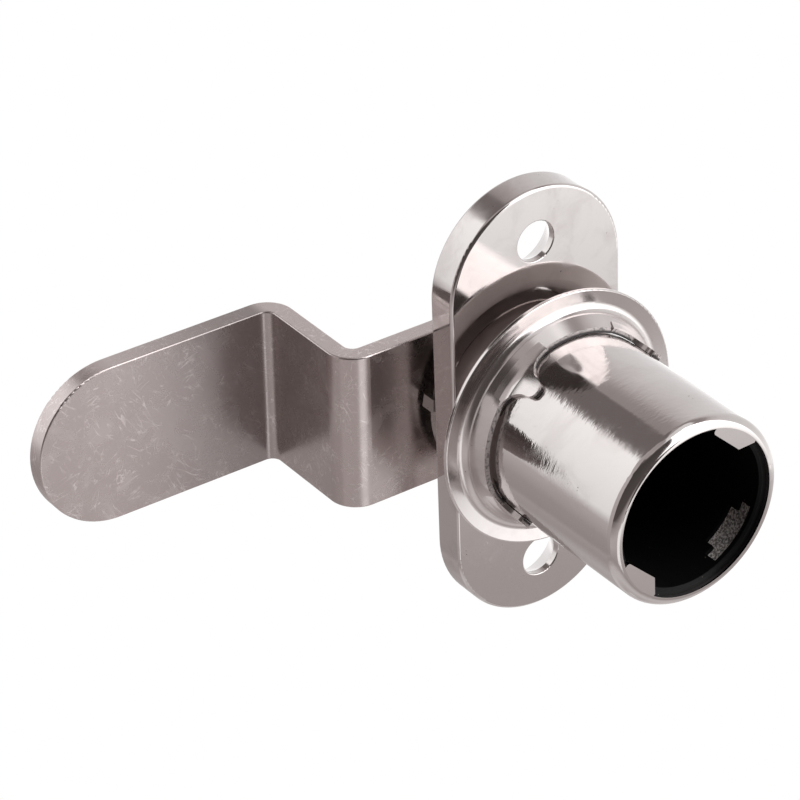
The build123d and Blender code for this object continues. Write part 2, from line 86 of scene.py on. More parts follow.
class Nodes:
    """Adds shader nodes to a tree, one call for each node."""

    def __init__(self, tree: bpy.types.NodeTree) -> None:
        """Keep the tree that the nodes go into."""
        self.tree = tree

    def add(self, kind: str, **settings: object) -> bpy.types.Node:
        """Add one node and fill it in.

        Args:
            kind: The node's type name.
            **settings: Lower-case names are properties of the node. Capitalised names are its
                inputs, with spaces as underscores, and "_0" is its first input. An input takes a
                value or another node's output socket.

        Returns:
            The new node.
        """
        node = self.tree.nodes.new(kind)
        for name, value in settings.items():
            if name[0].islower():
                setattr(node, name, value)
                continue
            socket = node.inputs[int(name[1:])] if name[0] == "_" else node.inputs[name.replace("_", " ")]
            self.feed(socket, value)
        return node

    def feed(self, socket: Socket, value: object) -> None:
        """Link an output socket to an input socket, or set the input's value.

        Args:
            socket: The input.
            value: A value or another node's output socket.
        """
        if isinstance(value, Socket):
            self.tree.links.new(value, socket)
        else:
            socket.default_value = value

    def math(self, operation: str, first: Number, second: Number = 0.0, clamp: bool = False) -> Socket:
        """Combine two numbers, with the result kept between 0 and 1 if clamp is set."""
        node = self.add("ShaderNodeMath", operation=operation, use_clamp=clamp, _0=first, _1=second)
        return node.outputs[0]

    def plus(self, first: Number, second: Number, clamp: bool = False) -> Socket:
        """The sum, kept between 0 and 1 if clamp is set."""
        return self.math("ADD", first, second, clamp)

    def minus(self, first: Number, second: Number) -> Socket:
        """The first number less the second."""
        return self.math("SUBTRACT", first, second)

    def times(self, first: Number, second: Number, clamp: bool = False) -> Socket:
        """The product, kept between 0 and 1 if clamp is set."""
        return self.math("MULTIPLY", first, second, clamp)

    def larger(self, first: Number, second: Number) -> Socket:
        """The larger of two numbers."""
        return self.math("MAXIMUM", first, second)

    def vector(self, operation: str, first: Socket, **others: object) -> Outputs:
        """Work on a vector; the outputs are first the vector, then the value."""
        return self.add("ShaderNodeVectorMath", operation=operation, _0=first, **others).outputs

    def joined(self, x: Number, y: Number, z: Number = 0.0) -> Socket:
        """A vector made of three numbers."""
        return self.add("ShaderNodeCombineXYZ", X=x, Y=y, Z=z).outputs[0]

    def split(self, vector: Socket) -> Outputs:
        """The vector's parts, by the names X, Y and Z."""
        return self.add("ShaderNodeSeparateXYZ", Vector=vector).outputs

    def ramp(self, value: Number, low: float, high: float, start: float = 0.0, end: float = 1.0) -> Socket:
        """Map a value smoothly from one range to another.

        Args:
            value: The socket to map.
            low: Input that gives start.
            high: Input that gives end.
            start: Output at low.
            end: Output at high.

        Returns:
            The mapped value's socket.
        """
        node = self.add("ShaderNodeMapRange", interpolation_type="SMOOTHSTEP", Value=value,
                        From_Min=low, From_Max=high, To_Min=start, To_Max=end)
        return node.outputs["Result"]

    def noise(self, vector: Socket, kind: Noise) -> Socket:
        """Draw noise between 0 and 1.

        Args:
            vector: The coordinates' socket.
            kind: The noise.

        Returns:
            The value's socket.
        """
        node = self.add("ShaderNodeTexNoise", Vector=vector, Scale=kind.scale, Detail=kind.detail,
                        Roughness=kind.roughness, Distortion=kind.distortion)
        return node.outputs["Fac"]

    def blend(self, factor: Number, first: Paint, second: Paint) -> Socket:
        """Mix two colours.

        Args:
            factor: How much of the second colour shows, 0 to 1.
            first: A colour or a socket.
            second: A colour or a socket.

        Returns:
            The mixed colour's socket.
        """
        node = self.add("ShaderNodeMix", data_type="RGBA")
        self.feed(node.inputs["Factor"], factor)
        slots = [socket for socket in node.inputs if socket.type == "RGBA"]
        for slot, paint in zip(slots, (first, second)):
            self.feed(slot, paint if isinstance(paint, Socket) else rgba(paint))
        return next(socket for socket in node.outputs if socket.type == "RGBA")


@dataclass(frozen=True)
class ScratchLayer:
    """Fine scratches that all run one way.

    Attributes:
        turn: How far they are turned about Y, in degrees.
        pace: How fast their noise changes along a scratch, for each millimetre.
        shift: Moves the pattern, in millimetres.
        leans: Shares of that turn by which they are also turned about X and Z.
        pace_across: How fast their noise changes across a scratch, for each millimetre.
        waver: Their noise, whose middle value is a line.
        edge: How far from that value a line starts and is full.
    """

    turn: float
    pace: float
    shift: float
    leans: Range = (0.2, -0.25)
    pace_across: float = 1.5
    waver: Noise = Noise(detail=1.0, distortion=0.3)
    edge: Range = (0.02, 0.004)

    def lines(self, nodes: Nodes, moved: Socket) -> Socket:
        """Draw the lines.

        Args:
            nodes: Adds nodes to the group.
            moved: The shifted place's socket, in millimetres.

        Returns:
            A mask that is 1 along the lines.
        """
        lean_x, lean_z = self.leans
        tilt = (self.turn * lean_x, self.turn, self.turn * lean_z)
        turned = nodes.add("ShaderNodeVectorRotate", rotation_type="EULER_XYZ", Vector=moved,
                           Rotation=tuple(radians(angle) for angle in tilt))
        paces = (self.pace, self.pace_across, self.pace_across)
        drawn = nodes.vector("MULTIPLY", turned.outputs[0], _1=paces)[0]
        off_line = nodes.math("ABSOLUTE", nodes.minus(nodes.noise(drawn, self.waver), NOISE_MIDDLE))
        return nodes.ramp(off_line, *self.edge)


class EffectGroups:
    """Node groups for the surface effects that several finishes share, each built once."""

    _built: dict[str, bpy.types.NodeTree] = {}

    @classmethod
    def _start(cls, name: str, numbers: dict[str, float],
               masks: tuple[str, ...]) -> tuple[Nodes, Outputs, Inputs]:
        """Make an empty group.

        Args:
            name: The group's name.
            numbers: Its number inputs with their defaults. A Vector input always comes first.
            masks: Its outputs.

        Returns:
            The group's node helper, what it is given and the sockets of its masks.
        """
        tree = bpy.data.node_groups.new(name, "ShaderNodeTree")
        tree.interface.new_socket("Vector", in_out="INPUT", socket_type="NodeSocketVector")
        for key, value in numbers.items():
            socket = tree.interface.new_socket(key, in_out="INPUT", socket_type="NodeSocketFloat")
            socket.default_value = value
        for key in masks:
            tree.interface.new_socket(key, in_out="OUTPUT", socket_type="NodeSocketFloat")
        cls._built[name] = tree
        nodes = Nodes(tree)
        return nodes, nodes.add("NodeGroupInput").outputs, nodes.add("NodeGroupOutput").inputs

    @classmethod
    def hairlines(cls) -> bpy.types.NodeTree:
        """Fine scratches in several directions, gathered in clumps.

        Returns:
            A group with inputs Vector (millimetres), Density and Seed and the output Mask.
        """
        if "hairlines" in cls._built:
            return cls._built["hairlines"]
        layers = (ScratchLayer(turn=22.0, pace=0.112, shift=1.0),
                  ScratchLayer(turn=-38.0, pace=0.16, shift=5.0),
                  ScratchLayer(turn=71.0, pace=0.096, shift=9.0),
                  ScratchLayer(turn=-64.0, pace=0.208, shift=14.0))
        clumping = Noise(scale=0.4, roughness=0.6)
        sparse_level, density_reach, clump_edge = 0.68, 0.2, 9.0
        nodes, given, result = cls._start("hairlines", {"Density": 0.5, "Seed": 0.0}, ("Mask",))
        level = nodes.minus(sparse_level, nodes.times(given["Density"], density_reach))
        total = 0.0
        for layer in layers:
            shift = nodes.joined(layer.shift, given["Seed"], layer.shift)
            moved = nodes.vector("ADD", given["Vector"], _1=shift)[0]
            clumps = nodes.minus(nodes.noise(moved, clumping), level)
            gate = nodes.times(clumps, clump_edge, clamp=True)
            total = nodes.plus(total, nodes.times(layer.lines(nodes, moved), gate), clamp=True)
        nodes.feed(result["Mask"], total)
        return cls._built["hairlines"]

    @classmethod
    def smudges(cls) -> bpy.types.NodeTree:
        """Cloudy handling marks with small specks in them.

        Returns:
            A group with inputs Vector (millimetres), Scale and Seed and the outputs Cloud and Specks.
        """
        if "smudges" in cls._built:
            return cls._built["smudges"]
        start = 3.7
        clouds = Noise(detail=6.0, roughness=0.62, distortion=0.6)
        speck_sizes = Noise(scale=0.5, roughness=0.6)
        cloud_edge, speck_gate = (0.42, 0.68), (0.5, 0.6)
        specks_for_mm, largest_speck, speck_edge = 1.6, 0.16, 30.0
        nodes, given, result = cls._start("smudges", {"Scale": 0.25, "Seed": 0.0}, ("Cloud", "Specks"))
        shift = nodes.joined(given["Seed"], start, given["Seed"])
        moved = nodes.vector("ADD", given["Vector"], _1=shift)[0]
        cloud = nodes.noise(nodes.vector("SCALE", moved, Scale=given["Scale"])[0], clouds)
        nodes.feed(result["Cloud"], nodes.ramp(cloud, *cloud_edge))
        cells = nodes.add("ShaderNodeTexVoronoi", feature="F1", Vector=moved, Scale=specks_for_mm)
        size = nodes.times(nodes.noise(moved, speck_sizes), largest_speck)
        specks = nodes.times(nodes.minus(size, cells.outputs["Distance"]), speck_edge, clamp=True)
        nodes.feed(result["Specks"], nodes.times(specks, nodes.ramp(cloud, *speck_gate), clamp=True))
        return cls._built["smudges"]


class PieceNodes(Nodes):
    """Adds nodes to a piece's material and knows where its points lie, in millimetres."""

    @cached_property
    def _given(self) -> Outputs:
        """The coordinates and the normal of the point."""
        return self.add("ShaderNodeTexCoord").outputs

    @cached_property
    def point(self) -> Socket:
        """The point's place in the frame."""
        return self.vector("SCALE", self._given["Object"], Scale=1 / MM)[0]

    @cached_property
    def along(self) -> Outputs:
        """The point's places along the frame's axes X, Y and Z."""
        return self.split(self.point)

    @cached_property
    def from_axis(self) -> Socket:
        """The vector that leads from the tube's axis to the point."""
        return self.vector("MULTIPLY", self.point, _1=(1.0, 0.0, 1.0))[0]

    @cached_property
    def radius(self) -> Socket:
        """The point's distance from the tube's axis."""
        return self.vector("LENGTH", self.from_axis)["Value"]

    @cached_property
    def facing_back(self) -> Socket:
        """How far the surface faces backwards: 1 towards +Y, -1 towards the front."""
        return self.split(self._given["Normal"])["Y"]

    @cached_property
    def facing_outwards(self) -> Socket:
        """How far the surface faces away from the tube's axis: 1 outwards, -1 inwards."""
        outwards = self.vector("NORMALIZE", self.from_axis)[0]
        return self.vector("DOT_PRODUCT", self._given["Normal"], _1=outwards)["Value"]

    def smudges(self, scale: float, seed: float) -> Outputs:
        """Lay handling marks on the surface.

        Args:
            scale: Smudges for each millimetre.
            seed: Shifts the pattern.

        Returns:
            The masks Cloud and Specks.
        """
        group = self.add("ShaderNodeGroup", node_tree=EffectGroups.smudges(), Vector=self.point,
                         Scale=scale, Seed=seed)
        return group.outputs

    def hairlines(self, density: float, seed: float) -> Socket:
        """Lay fine scratches on the surface.

        Args:
            density: How many there are, 0 to 1.
            seed: Shifts the pattern.

        Returns:
            A mask that is 1 in the scratches.
        """
        group = self.add("ShaderNodeGroup", node_tree=EffectGroups.hairlines(), Vector=self.point,
                         Density=density, Seed=seed)
        return group.outputs["Mask"]


@dataclass
class Surface:
    """A finish while it is built up.

    Attributes:
        colour: Its base colour.
        roughness: Its roughness.
        metallic: How far it is metal, 0 to 1.
        height: Its relief, in metres.
        specular: How strongly it shines where it isn't metal; 0.5 is plain.
    """

    colour: Socket
    roughness: Socket
    metallic: Number
    height: Socket
    specular: float = 0.5


@dataclass(frozen=True)
class Finish(ABC):
    """What every finish has.

    Attributes:
        name: The material's name.
        colour: Clean surface, linear.
    """

    name: str
    colour: Colour

    @abstractmethod
    def surface(self, nodes: PieceNodes) -> Surface:
        """The finished surface, made with nodes of the piece's material."""

    def material(self) -> bpy.types.Material:
        """Build the material.

        Returns:
            The new material.
        """
        material = bpy.data.materials.new(self.name)
        material.use_nodes = True
        nodes = PieceNodes(material.node_tree)
        surface = self.surface(nodes)
        bump = nodes.add("ShaderNodeBump", Strength=1.0, Distance=1.0, Height=surface.height)
        shader = material.node_tree.nodes["Principled BSDF"]
        nodes.feed(shader.inputs["Base Color"], surface.colour)
        nodes.feed(shader.inputs["Roughness"], surface.roughness)
        nodes.feed(shader.inputs["Metallic"], surface.metallic)
        nodes.feed(shader.inputs["Specular IOR Level"], surface.specular)
        nodes.feed(shader.inputs["Normal"], bump.outputs["Normal"])
        return material


@dataclass(frozen=True)
class PlatedFinish(Finish):
    """Bright nickel plate: mirror polish with smudges, fine hairlines and specks.

    Attributes:
        dull_colour: Metal under a smudge, linear.
        roughness: Clean roughness.
        smudge_roughness: Roughness added where smudges lie.
        smudge_cover: How much of the dull colour a full smudge shows.
        smudge_scale: Smudges for each millimetre.
        speck_colour: Specks in a smudge, linear.
        speck_roughness: Roughness added by a speck.
        scratch_density: How many hairlines there are, 0 to 1.
        scratch_roughness: Roughness added by a hairline.
        scratch_depth: Depth of a hairline, in millimetres.
        waves: Slow waves of the polished surface.
        wave_height: Height of the waves, in millimetres.
        bare_roughness: Roughness added where the metal is bare.
        bare_dullness: How far the mirror shine is lost there, 0 to 1.
        seed: Shifts the pattern.
    """

    dull_colour: Colour
    roughness: float = 0.05
    smudge_roughness: float = 0.12
    smudge_cover: float = 0.6
    smudge_scale: float = 0.25
    speck_colour: Colour = (0.12, 0.11, 0.11)
    speck_roughness: float = 0.3
    scratch_density: float = 0.25
    scratch_roughness: float = 0.18
    scratch_depth: float = 0.0006
    waves: Noise = Noise(scale=0.35, detail=2.0)
    wave_height: float = 0.0012
    bare_roughness: float = 0.45
    bare_dullness: float = 0.92
    seed: float = 0.0

    def surface(self, nodes: PieceNodes) -> Surface:
        """Build up the plate.

        Args:
            nodes: Adds nodes to the piece's material.

        Returns:
            The finished surface.
        """
        smudges = nodes.smudges(self.smudge_scale, self.seed)
        cloud, specks = smudges["Cloud"], smudges["Specks"]
        scratches = nodes.hairlines(self.scratch_density, self.seed)
        colour = nodes.blend(nodes.times(cloud, self.smudge_cover), self.colour, self.dull_colour)
        colour = nodes.blend(specks, colour, self.speck_colour)
        rough = nodes.plus(self.roughness, nodes.times(cloud, self.smudge_roughness))
        rough = nodes.plus(rough, nodes.times(scratches, self.scratch_roughness))
        rough = nodes.plus(rough, nodes.times(specks, self.speck_roughness))
        waves = nodes.times(nodes.noise(nodes.point, self.waves), self.wave_height * MM)
        height = nodes.minus(waves, nodes.times(scratches, self.scratch_depth * MM))
        return Surface(colour, rough, 1.0, height)

    def strip(self, nodes: PieceNodes, surface: Surface, bare: Socket) -> None:
        """Take the mirror shine off the given surface where the mask of bare places is 1."""
        surface.roughness = nodes.plus(surface.roughness, nodes.times(bare, self.bare_roughness))
        surface.metallic = nodes.minus(surface.metallic, nodes.times(bare, self.bare_dullness))


@dataclass(frozen=True)
class CastPlate(PlatedFinish):
    """Plate on the casting, whose inside is left as cast.

    Attributes:
        cast_radius: Radius round the tube's axis within which it is left as cast, in millimetres.
        cast_edge: Width over which the plate ends there, in millimetres.
        pits: Pits of the cast skin.
        pit_edge: Noise at a pit's bottom and on the skin between the pits.
        pit_colour: Bottom of a pit, linear.
        skin_colour: Skin between the pits, linear.
    """

    cast_radius: float = 8.4
    cast_edge: float = 0.05
    pits: Noise = Noise(scale=5.0, roughness=0.6)
    pit_edge: Range = (0.4, 0.62)
    pit_colour: Colour = (0.25, 0.23, 0.22)
    skin_colour: Colour = (0.95, 0.9, 0.88)

    def surface(self, nodes: PieceNodes) -> Surface:
        """Build up the plate and the cast skin.

        Args:
            nodes: Adds nodes to the piece's material.

        Returns:
            The finished surface.
        """
        surface = super().surface(nodes)
        cast = nodes.ramp(nodes.radius, self.cast_radius, self.cast_radius - self.cast_edge)
        between = nodes.ramp(nodes.noise(nodes.point, self.pits), *self.pit_edge)
        skin = nodes.blend(between, self.pit_colour, self.skin_colour)
        surface.colour = nodes.blend(cast, surface.colour, skin)
        self.strip(nodes, surface, cast)
        return surface


@dataclass(frozen=True)
class DrawnPlate(PlatedFinish):
    """Plate on the drawn sleeve, with fine marks that run round the tube.

    Attributes:
        mark_height: Height of the marks, in millimetres.
        marks_along: Marks for each millimetre along the tube.
        marks_around: Marks for each millimetre round the tube.
        marks: The marks on the tube unrolled at those rates.
        wear: Patches in which the marks show.
        wear_edge: Noise where such a patch starts and is full.
        marked_radii: Radii at which the marks start and are full, in millimetres.
    """

    mark_height: float = 0.012
    marks_along: float = 2.7
    marks_around: float = 1.0
    marks: Noise = Noise(detail=2.0, roughness=0.65)
    wear: Noise = Noise(scale=0.12, detail=2.0)
    wear_edge: Range = (0.35, 0.55)
    marked_radii: Range = (8.6, 8.9)

    def surface(self, nodes: PieceNodes) -> Surface:
        """Build up the plate and the marks.

        Args:
            nodes: Adds nodes to the piece's material.

        Returns:
            The finished surface.
        """
        surface = super().surface(nodes)
        arc = nodes.times(nodes.math("ARCTAN2", nodes.along["Z"], nodes.along["X"]), nodes.radius)
        unrolled = nodes.joined(nodes.times(nodes.along["Y"], self.marks_along),
                                nodes.times(arc, self.marks_around))
        worn = nodes.ramp(nodes.noise(nodes.point, self.wear), *self.wear_edge)
        worn = nodes.times(worn, nodes.ramp(nodes.radius, *self.marked_radii))
        ripple = nodes.times(nodes.noise(unrolled, self.marks), worn)
        surface.height = nodes.plus(surface.height, nodes.times(ripple, self.mark_height * MM))
        return surface


@dataclass(frozen=True)
class PressedPlate(PlatedFinish):
    """Plate on the pressed collar, with a dull back painted pale as painted light and a bare cut edge round
    its neck.

    Attributes:
        painted_light_back_colour: The sheet's back, which faces the plate and the tube, and the neck's
            inside, painted nearly white as painted light so that they show bright, linear.
        backwards: How far the surface faces backwards where the back starts and is full.
        inwards: How far it faces outwards where the neck's inside starts and is full.
        forwards: How far it faces backwards where the cut edge starts and is full.
        cut_front: How far in front of the plate the cut edge starts, in millimetres.
        cut_blend: Distance over which it starts, in millimetres.
        burr_and_gap_shade_colour: Inner part of the cut edge, near black for the burr and as painted shade
            of the gap behind it, linear.
        cut_colour: Outer part of the cut edge, linear.
        cut_radii: Radii at which the outer part starts and is full, in millimetres.
        tears: Tears in the outer part.
        tear_edge: Noise inside a tear and between the tears.
        tear_light: Share of the outer part's colour inside a tear.
    """

    painted_light_back_colour: Colour = (0.95, 0.88, 0.86)
    backwards: Range = (0.1, 0.4)
    inwards: Range = (-0.3, -0.7)
    forwards: Range = (-0.7, -0.8)
    cut_front: float = 4.0
    cut_blend: float = 0.1
    burr_and_gap_shade_colour: Colour = (0.03, 0.025, 0.025)
    cut_colour: Colour = (0.55, 0.5, 0.49)
    cut_radii: Range = (9.15, 9.35)
    tears: Noise = Noise(scale=4.0, detail=2.0)
    tear_edge: Range = (0.35, 0.55)
    tear_light: float = 0.35

    def surface(self, nodes: PieceNodes) -> Surface:
        """Build up the plate, the back with its painted light and the cut edge.

        Args:
            nodes: Adds nodes to the piece's material.

        Returns:
            The finished surface.
        """
        surface = super().surface(nodes)
        back = nodes.larger(nodes.ramp(nodes.facing_back, *self.backwards),
                            nodes.ramp(nodes.facing_outwards, *self.inwards))
        in_front = nodes.ramp(nodes.along["Y"], -self.cut_front, -self.cut_front - self.cut_blend)
        cut = nodes.times(nodes.ramp(nodes.facing_back, *self.forwards), in_front)
        torn = nodes.ramp(nodes.noise(nodes.point, self.tears), *self.tear_edge, self.tear_light)
        outer = nodes.times(nodes.ramp(nodes.radius, *self.cut_radii), torn)
        # Painted shade: the cut edge's inner part is near black, for its burr and for the gap's shade.
        edge = nodes.blend(outer, self.burr_and_gap_shade_colour, self.cut_colour)
        # Painted light: the back and the neck's inside get a nearly white dull colour so that they show
        # bright.
        surface.colour = nodes.blend(cut, nodes.blend(back, surface.colour, self.painted_light_back_colour), edge)
        self.strip(nodes, surface, nodes.larger(back, cut))
        return surface


@dataclass(frozen=True)
class PaintedCreaseShade:
    """Dark film across a part of the cam.

    Attributes:
        start: Where it starts along X, in millimetres.
        full: Where it is full.
        fades: Where it starts to end.
        end: Where it ends.
        depth: Share of the colour that the full painted shade darkens away.
    """

    start: float
    full: float
    fades: float
    end: float
    depth: float

    def mask(self, nodes: PieceNodes) -> Socket:
        """The share of the colour that the painted shade darkens away.

        Args:
            nodes: Adds nodes to the piece's material.

        Returns:
            The share's socket.
        """
        place = nodes.along["X"]
        shade_ramp = nodes.times(nodes.ramp(place, self.start, self.full),
                           nodes.ramp(place, self.end, self.fades))
        return nodes.times(shade_ramp, self.depth)


@dataclass(frozen=True)
class SatinFinish(Finish):
    """Duller satin plate on sheet steel: smudges, many scratches, a soft grain and any painted shade.

    Attributes:
        worn_colour: Metal under a smudge, linear.
        roughness: Clean roughness.
        smudge_roughness: Roughness added where smudges lie.
        smudge_cover: How much of the worn colour a full smudge shows.
        smudge_scale: Smudges for each millimetre.
        grain: The fine grain.
        grain_height: Height of the grain, in millimetres.
        grain_roughness: How much the roughness varies with the grain.
        scratch_density: How many hairlines there are, 0 to 1.
        scratch_cover: How much of the scratch colour a hairline shows.
        scratch_colour: Metal laid bare by a scratch, linear.
        scratch_depth: Depth of a hairline, in millimetres.
        painted_shade: The painted shade laid on the piece's colour, if it has one.
        seed: Shifts the pattern.
    """

    worn_colour: Colour
    roughness: float = 0.3
    smudge_roughness: float = 0.08
    smudge_cover: float = 0.4
    smudge_scale: float = 0.3
    grain: Noise = Noise(scale=9.0, roughness=0.6)
    grain_height: float = 0.0008
    grain_roughness: float = 0.12
    scratch_density: float = 0.6
    scratch_cover: float = 0.55
    scratch_colour: Colour = (0.85, 0.79, 0.77)
    scratch_depth: float = 0.002
    painted_shade: PaintedCreaseShade | None = None
    seed: float = 0.0

    def surface(self, nodes: PieceNodes) -> Surface:
        """Build up the satin plate.

        Args:
            nodes: Adds nodes to the piece's material.

        Returns:
            The finished surface.
        """
        cloud = nodes.smudges(self.smudge_scale, self.seed)["Cloud"]
        scratches = nodes.hairlines(self.scratch_density, self.seed)
        grain = nodes.noise(nodes.point, self.grain)
        colour = nodes.blend(nodes.times(cloud, self.smudge_cover), self.colour, self.worn_colour)
        colour = nodes.blend(nodes.times(scratches, self.scratch_cover), colour, self.scratch_colour)
        # Painted shade: darken the colour towards the cam's crease, where the bend's shade falls.
        if self.painted_shade:
            colour = nodes.blend(self.painted_shade.mask(nodes), colour, BLACK)
        rough = nodes.plus(self.roughness, nodes.times(cloud, self.smudge_roughness))
        rough = nodes.plus(rough, nodes.times(nodes.minus(grain, NOISE_MIDDLE), self.grain_roughness))
        height = nodes.minus(nodes.times(grain, self.grain_height * MM),
                             nodes.times(scratches, self.scratch_depth * MM))
        return Surface(colour, rough, 1.0, height)


@dataclass(frozen=True)
class MouldedFinish(Finish):
    """Moulded plastic with moulding grain and a little dust.

    Attributes:
        dust_colour: Dust and scuffs, linear.
        dust_cover: How much of the dust colour a speck shows.
        dust_scale: Dusty places for each millimetre.
        roughness: Clean roughness.
        grain: The moulding grain.
        grain_height: Height of the grain, in millimetres.
        grain_roughness: Roughness added on top of a grain.
        specular: How strongly it shines; 0.5 is plain plastic.
        seed: Shifts the pattern.
    """

    dust_colour: Colour
    dust_cover: float = 0.8
    dust_scale: float = 0.5
    roughness: float = 0.35
    grain: Noise = Noise(scale=14.0, detail=2.0, roughness=0.6)
    grain_height: float = 0.002
    grain_roughness: float = 0.2
    specular: float = 0.12
    seed: float = 4.0

    def surface(self, nodes: PieceNodes) -> Surface:
        """Build up the plastic.

        Args:
            nodes: Adds nodes to the piece's material.

        Returns:
            The finished surface.
        """
        dust = nodes.times(nodes.smudges(self.dust_scale, self.seed)["Specks"], self.dust_cover)
        grain = nodes.noise(nodes.point, self.grain)
        return Surface(
            colour=nodes.blend(dust, self.colour, self.dust_colour),
            roughness=nodes.plus(self.roughness, nodes.times(grain, self.grain_roughness)),
            metallic=0.0,
            height=nodes.times(grain, self.grain_height * MM),
            specular=self.specular)


class Sampling(Enum):
    """How the renderer finds a panel's light.

    Attributes:
        LAMP: It aims at the panel, which lights the lock.
        MIRRORED: It meets the panel by chance, which does for what the metal mirrors.
    """

    LAMP = "AUTO"
    MIRRORED = "NONE"


@dataclass(frozen=True)
class Panel:
    """One curved wall of the studio, seen from the lock over a range of directions.

    Attributes:
        name: The panel's name.
        azimuths: Its left and right edge, in degrees from the front towards the right.
        levels: Elevations in degrees, each with what the panel sends out there, where 1 is white.
        distance: How far from the lock it stands, in metres.
        fade: How many degrees its edges take to fade out.
        sampling: How the renderer finds its light.
        dim_tint: Colour of its dimmest light; white light stays neutral.
        tint_room: How far above its brightest level a tinted colour may reach.
    """

    name: str
    azimuths: Range
    levels: tuple[tuple[float, float], ...]
    distance: float
    fade: float = 4.0
    sampling: Sampling = Sampling.MIRRORED
    dim_tint: Colour = (1.16, 1.0, 0.97)
    tint_room: float = 1.2

    @property
    def elevations(self) -> Range:
        """Its lower and upper edge, in degrees above the horizon."""
        return self.levels[0][0], self.levels[-1][0]

    def build(self) -> bpy.types.Object:
        """Make the wall, bent round the lock.

        Returns:
            The staged panel.
        """
        steps = 16
        bpy.ops.object.select_all(action="DESELECT")
        bpy.ops.mesh.primitive_grid_add(x_subdivisions=steps, y_subdivisions=steps, size=1.0)
        panel = bpy.context.active_object
        panel.name = self.name
        left, right = self.azimuths
        low, high = self.elevations
        for vertex in panel.data.vertices:
            azimuth = left + (right - left) * (vertex.co.x + 0.5)
            elevation = low + (high - low) * (vertex.co.y + 0.5)
            vertex.co = direction(azimuth, elevation) * self.distance
        panel.data.materials.append(self._material())
        panel.visible_camera = False
        panel.visible_shadow = False
        return panel

    def _material(self) -> bpy.types.Material:
        """Build the panel's light.

        Returns:
            A material that glows by elevation and fades out at the edges.
        """
        material = bpy.data.materials.new(self.name)
        material.use_nodes = True
        tree = material.node_tree
        nodes = Nodes(tree)
        tree.nodes.remove(tree.nodes["Principled BSDF"])
        place = nodes.split(nodes.add("ShaderNodeTexCoord").outputs["UV"])
        glow = self._glow(nodes, place["Y"])
        clear = nodes.add("ShaderNodeBsdfTransparent").outputs[0]
        mixed = nodes.add("ShaderNodeMixShader", _0=self._cover(nodes, place), _1=clear, _2=glow)
        nodes.feed(tree.nodes["Material Output"].inputs["Surface"], mixed.outputs[0])
        material.cycles.emission_sampling = self.sampling.value
        return material

    def _glow(self, nodes: Nodes, upwards: Socket) -> Socket:
        """Colour the light by elevation.

        Args:
            nodes: Adds nodes to the panel's material.
            upwards: Place on the panel, 0 at its lower edge and 1 at its upper edge.

        Returns:
            The light's socket.
        """
        low, high = self.elevations
        peak = max(level for _, level in self.levels)
        ramp = nodes.add("ShaderNodeValToRGB", Fac=upwards)
        stops = ramp.color_ramp.elements
        while len(stops) < len(self.levels):
            stops.new(0.5)
        for stop, (elevation, level) in zip(stops, self.levels):
            stop.position = (elevation - low) / (high - low)
            dim = 1.0 - min(level, 1.0)
            tint = (1.0 + dim * (part - 1.0) for part in self.dim_tint)
            stop.color = rgba(tuple(level / peak / self.tint_room * part for part in tint))
        colour = ramp.outputs["Color"]
        return nodes.add("ShaderNodeEmission", Color=colour, Strength=peak * self.tint_room).outputs[0]

    def _cover(self, nodes: Nodes, place: Outputs) -> Number:
        """Fade the panel out at its edges.

        Args:
            nodes: Adds nodes to the panel's material.
            place: Places on the panel, 0 to 1, by the names X and Y.

        Returns:
            How much of the panel shows, 0 to 1.
        """
        cover = 1.0
        for axis, (start, end) in (("X", self.azimuths), ("Y", self.elevations)):
            extent = end - start
            if self.fade <= 0 or extent >= FULL_TURN:
                continue
            width = self.fade / extent
            cover = nodes.times(cover, nodes.ramp(place[axis], 0.0, width))
            cover = nodes.times(cover, nodes.ramp(place[axis], 1.0, 1.0 - width))
        return cover


